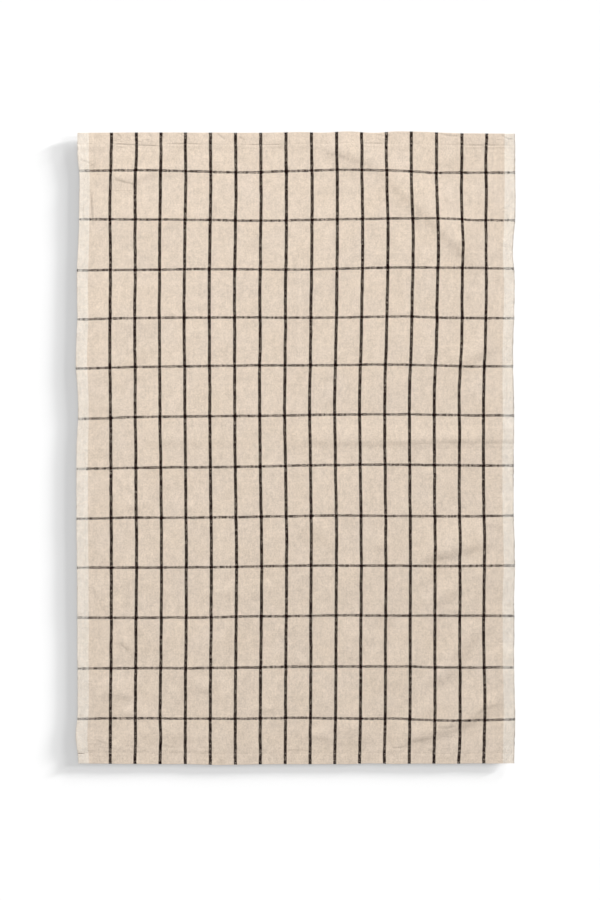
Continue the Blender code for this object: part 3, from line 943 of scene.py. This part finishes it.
    # a soft shadow where one thread dips under the next
    dip = n.ramp(away, 0.34, 0.72, 1.0, 0.93)
    grey = n.mul(n.mul(light, dip), n.sub(1.0, n.mul(furrows, FURROW_DEPTH_SHADE)))
    tint = tree.nodes.new("ShaderNodeMix")
    tint.data_type = "RGBA"
    tint.blend_type = "MULTIPLY"
    tint.inputs[0].default_value = 1.0
    tree.links.new(shown, tint.inputs[6])
    bright = tree.nodes.new("ShaderNodeCombineColor")
    hue = n.noise(n.vector(n.mul(u0, 0.030), n.mul(v0, 0.026), 41.0), 1.0, 2.0)
    for name, amount in (("Red", 0.012), ("Green", 0.0), ("Blue", -0.03)):
        n.link(n.mul(grey, n.add(1.0, n.mul(n.sub(hue, 0.5), amount * 2))), bright.inputs[name])
    tree.links.new(bright.outputs[0], tint.inputs[7])
    n.link(tint.outputs[2], bsdf.inputs["Base Color"])

    # relief of the threads
    across = n.mix(shows_weft, a, b)
    along = n.mix(shows_weft, b, a)
    round_ = n.sub(1.0, n.mul(n.mul(across, across), 3.2))
    crown = n.sub(1.0, n.mul(n.mul(along, along), 1.6))
    thread = n.mul(n.mul(round_, crown), n.mix(on_top, 0.45, 1.0))
    thick_thread = n.add(1.0, n.mul(n.sub(streak, 0.5), 0.8))
    weave_relief = n.mul(n.mul(thread, thick_thread), 0.16)

    # small crumples in the hems and just inside them, where the stitches
    # gather the cloth
    end_in = n.math("MINIMUM", v0, n.sub(LENGTH, v0))
    in_hem = n.ramp(end_in, HEM + 13.0, HEM + 1.0)
    ticks = n.noise(n.vector(n.mul(u0, 0.26), n.mul(v0, 0.15), 47.0), 1.0, 3.0, 0.62)
    patches = n.ramp(n.noise(n.vector(n.mul(u0, 0.030), n.mul(v0, 0.0016), 53.0), 1.0, 1.0), 0.40, 0.60)
    tick_relief = n.mul(n.mul(in_hem, patches), n.mul(n.ramp(ticks, 0.50, 0.70), -0.60))
    # and small crimps along the inner edge of each border
    by_border = n.ramp(n.math("ABSOLUTE", n.sub(edge_in, BORDER + 1.5)), 5.0, 0.0)
    crimps = n.noise(n.vector(n.mul(u0, 0.10), n.mul(v0, 0.30), 59.0), 1.0, 2.0, 0.6)
    crimp_relief = n.mul(by_border, n.mul(n.ramp(crimps, 0.50, 0.72), -0.30))
    needle = n.ramp(n.math("ABSOLUTE", n.sub(end_in, STITCH_AT)), 1.1, 0.1, 0.0, -0.12)

    height = n.add(weave_relief, n.sub(n.add(n.add(tick_relief, crimp_relief), needle), n.mul(furrows, 1.1)))
    bump = tree.nodes.new("ShaderNodeBump")
    bump.inputs["Strength"].default_value = 0.7
    bump.inputs["Distance"].default_value = 0.001
    n.link(height, bump.inputs["Height"])
    tree.links.new(bump.outputs[0], bsdf.inputs["Normal"])

    n.link(n.add(0.84, n.mul(fine, 0.14)), bsdf.inputs["Roughness"])
    bsdf.inputs["Specular IOR Level"].default_value = 0.06
    return mat


def thread_material():
    mat = bpy.data.materials.new("sewing_thread")
    mat.use_nodes = True
    tree = mat.node_tree
    n = Nodes(tree)
    bsdf = tree.nodes["Principled BSDF"]
    coords = tree.nodes.new("ShaderNodeTexCoord")
    twist = tree.nodes.new("ShaderNodeTexWave")
    twist.wave_type = "BANDS"
    twist.bands_direction = "DIAGONAL"
    twist.inputs["Scale"].default_value = 900.0
    tree.links.new(coords.outputs["Object"], twist.inputs["Vector"])
    spots = n.noise(coords.outputs["Object"], 220.0, 2.0)
    tone = n.add(0.9, n.add(n.mul(twist.outputs["Fac"], 0.08), n.mul(spots, 0.08)))
    base = n.colour(1.0, (0.69, 0.59, 0.49), (1.0, 1.0, 1.0), "MULTIPLY")
    shade = tree.nodes.new("ShaderNodeCombineColor")
    for name in ("Red", "Green", "Blue"):
        n.link(tone, shade.inputs[name])
    n.link(n.colour(1.0, base, shade.outputs[0], "MULTIPLY"), bsdf.inputs["Base Color"])
    bump = tree.nodes.new("ShaderNodeBump")
    bump.inputs["Strength"].default_value = 0.4
    bump.inputs["Distance"].default_value = 0.0002
    tree.links.new(twist.outputs["Fac"], bump.inputs["Height"])
    tree.links.new(bump.outputs[0], bsdf.inputs["Normal"])
    n.link(n.add(0.6, n.mul(spots, 0.2)), bsdf.inputs["Roughness"])
    return mat


def floor_material():
    mat = bpy.data.materials.new("pale_floor")
    mat.use_nodes = True
    bsdf = mat.node_tree.nodes["Principled BSDF"]
    bsdf.inputs["Base Color"].default_value = (0.80, 0.80, 0.80, 1.0)
    bsdf.inputs["Roughness"].default_value = 0.95
    bsdf.inputs["Specular IOR Level"].default_value = 0.1
    return mat


# ------------------------------------------------------------ stage and light
def build_floor():
    mesh = bpy.data.meshes.new("floor")
    mesh.from_pydata([(-6, -6, 0), (6, -6, 0), (6, 6, 0), (-6, 6, 0)], [], [(0, 1, 2, 3)])
    floor = bpy.data.objects.new("floor", mesh)
    floor.location.z = -0.0002
    floor.data.materials.append(floor_material())
    bpy.context.scene.collection.objects.link(floor)
    return floor


def aim(obj, target):
    obj.rotation_euler = (Vector(target) - obj.location).to_track_quat("-Z", "Y").to_euler()


def build_light(floor, pieces):
    scene = bpy.context.scene
    world = bpy.data.worlds.new("studio")
    scene.world = world
    world.use_nodes = True
    tree = world.node_tree
    tree.nodes.clear()
    out = tree.nodes.new("ShaderNodeOutputWorld")
    fill = tree.nodes.new("ShaderNodeBackground")
    fill.inputs["Color"].default_value = (1.0, 1.0, 1.0, 1.0)
    fill.inputs["Strength"].default_value = FILL
    seen = tree.nodes.new("ShaderNodeBackground")
    seen.inputs["Color"].default_value = (1.0, 1.0, 1.0, 1.0)
    seen.inputs["Strength"].default_value = 1.0
    path = tree.nodes.new("ShaderNodeLightPath")
    mix = tree.nodes.new("ShaderNodeMixShader")
    tree.links.new(path.outputs["Is Camera Ray"], mix.inputs[0])
    tree.links.new(fill.outputs[0], mix.inputs[1])
    tree.links.new(seen.outputs[0], mix.inputs[2])
    tree.links.new(mix.outputs[0], out.inputs[0])

    key = bpy.data.lights.new("key", "AREA")
    key.shape = "RECTANGLE"
    key.size, key.size_y = 2.4, 1.6
    key.energy = KEY
    key_obj = bpy.data.objects.new("key", key)
    key_obj.location = (-0.7, 3.1, 3.0)
    scene.collection.objects.link(key_obj)
    aim(key_obj, (0, 0, 0))

    # The table has lights of its own: one straight down for its even tone,
    # and two low ones from the upper right for the long soft shadow beside the
    # cloth. The key lights the cloth only.
    table = bpy.data.collections.new("lit by the table lights")
    table.objects.link(floor)
    for lamp in TABLE_LIGHTS:
        sun = bpy.data.lights.new(lamp.name, "SUN")
        sun.energy = lamp.strength / sin(radians(lamp.elevation))
        sun.angle = radians(lamp.spread)
        obj = bpy.data.objects.new(lamp.name, sun)
        turn, high = radians(lamp.azimuth), radians(lamp.elevation)
        towards = Vector((cos(turn) * cos(high), sin(turn) * cos(high), sin(high)))
        obj.location = towards * 2
        aim(obj, (0, 0, 0))
        scene.collection.objects.link(obj)
        obj.light_linking.receiver_collection = table
    cloth = bpy.data.collections.new("lit by the key")
    for piece in pieces:
        cloth.objects.link(piece)
    key_obj.light_linking.receiver_collection = cloth


FILL = 0.52
KEY = 190.0
TableLight = namedtuple("TableLight", "name strength elevation azimuth spread")
TABLE_LIGHTS = [
    TableLight("table, even", 0.76, 90.0, 0.0, 10.0),
    TableLight("table, low", 0.90, 4.1, 25.0, 3.4),
    TableLight("table, low from behind", 0.36, 4.1, 55.0, 7.5),
    TableLight("table, less low", 0.38, 8.0, 14.0, 8.0),
]


def build_camera():
    """Straight above. The towel lies a little left of and above the picture's
    middle."""
    lens, across_px = 100.0, 900.0
    per_px = 1.1076 * MM
    distance = per_px * across_px * lens / 36.0
    data = bpy.data.cameras.new("camera")
    data.type = "PERSP"
    data.lens = lens
    data.sensor_width = 36.0
    data.sensor_fit = "AUTO"
    data.clip_start, data.clip_end = 0.05, 60.0
    cam = bpy.data.objects.new("camera", data)
    cam.location = (-MID_X * MM + 3.5 * per_px, -MID_Y * MM - 1.55 * per_px, distance)
    cam.rotation_euler = (0.0, 0.0, 0.0)
    bpy.context.scene.collection.objects.link(cam)
    bpy.context.scene.camera = cam


# -------------------------------------------------------------------- build
def main():
    scene = bpy.context.scene
    scene.view_settings.view_transform = "Standard"
    scene.view_settings.look = "None"
    build_camera()
    towel, grid = build_towel()
    towel.data.materials.append(woven_material())
    stitches = build_stitches(grid)
    stitches.data.materials.append(thread_material())
    floor = build_floor()
    build_light(floor, [towel, stitches])

    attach(towel, "root")
    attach(stitches, "root")
    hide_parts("towel")


main()
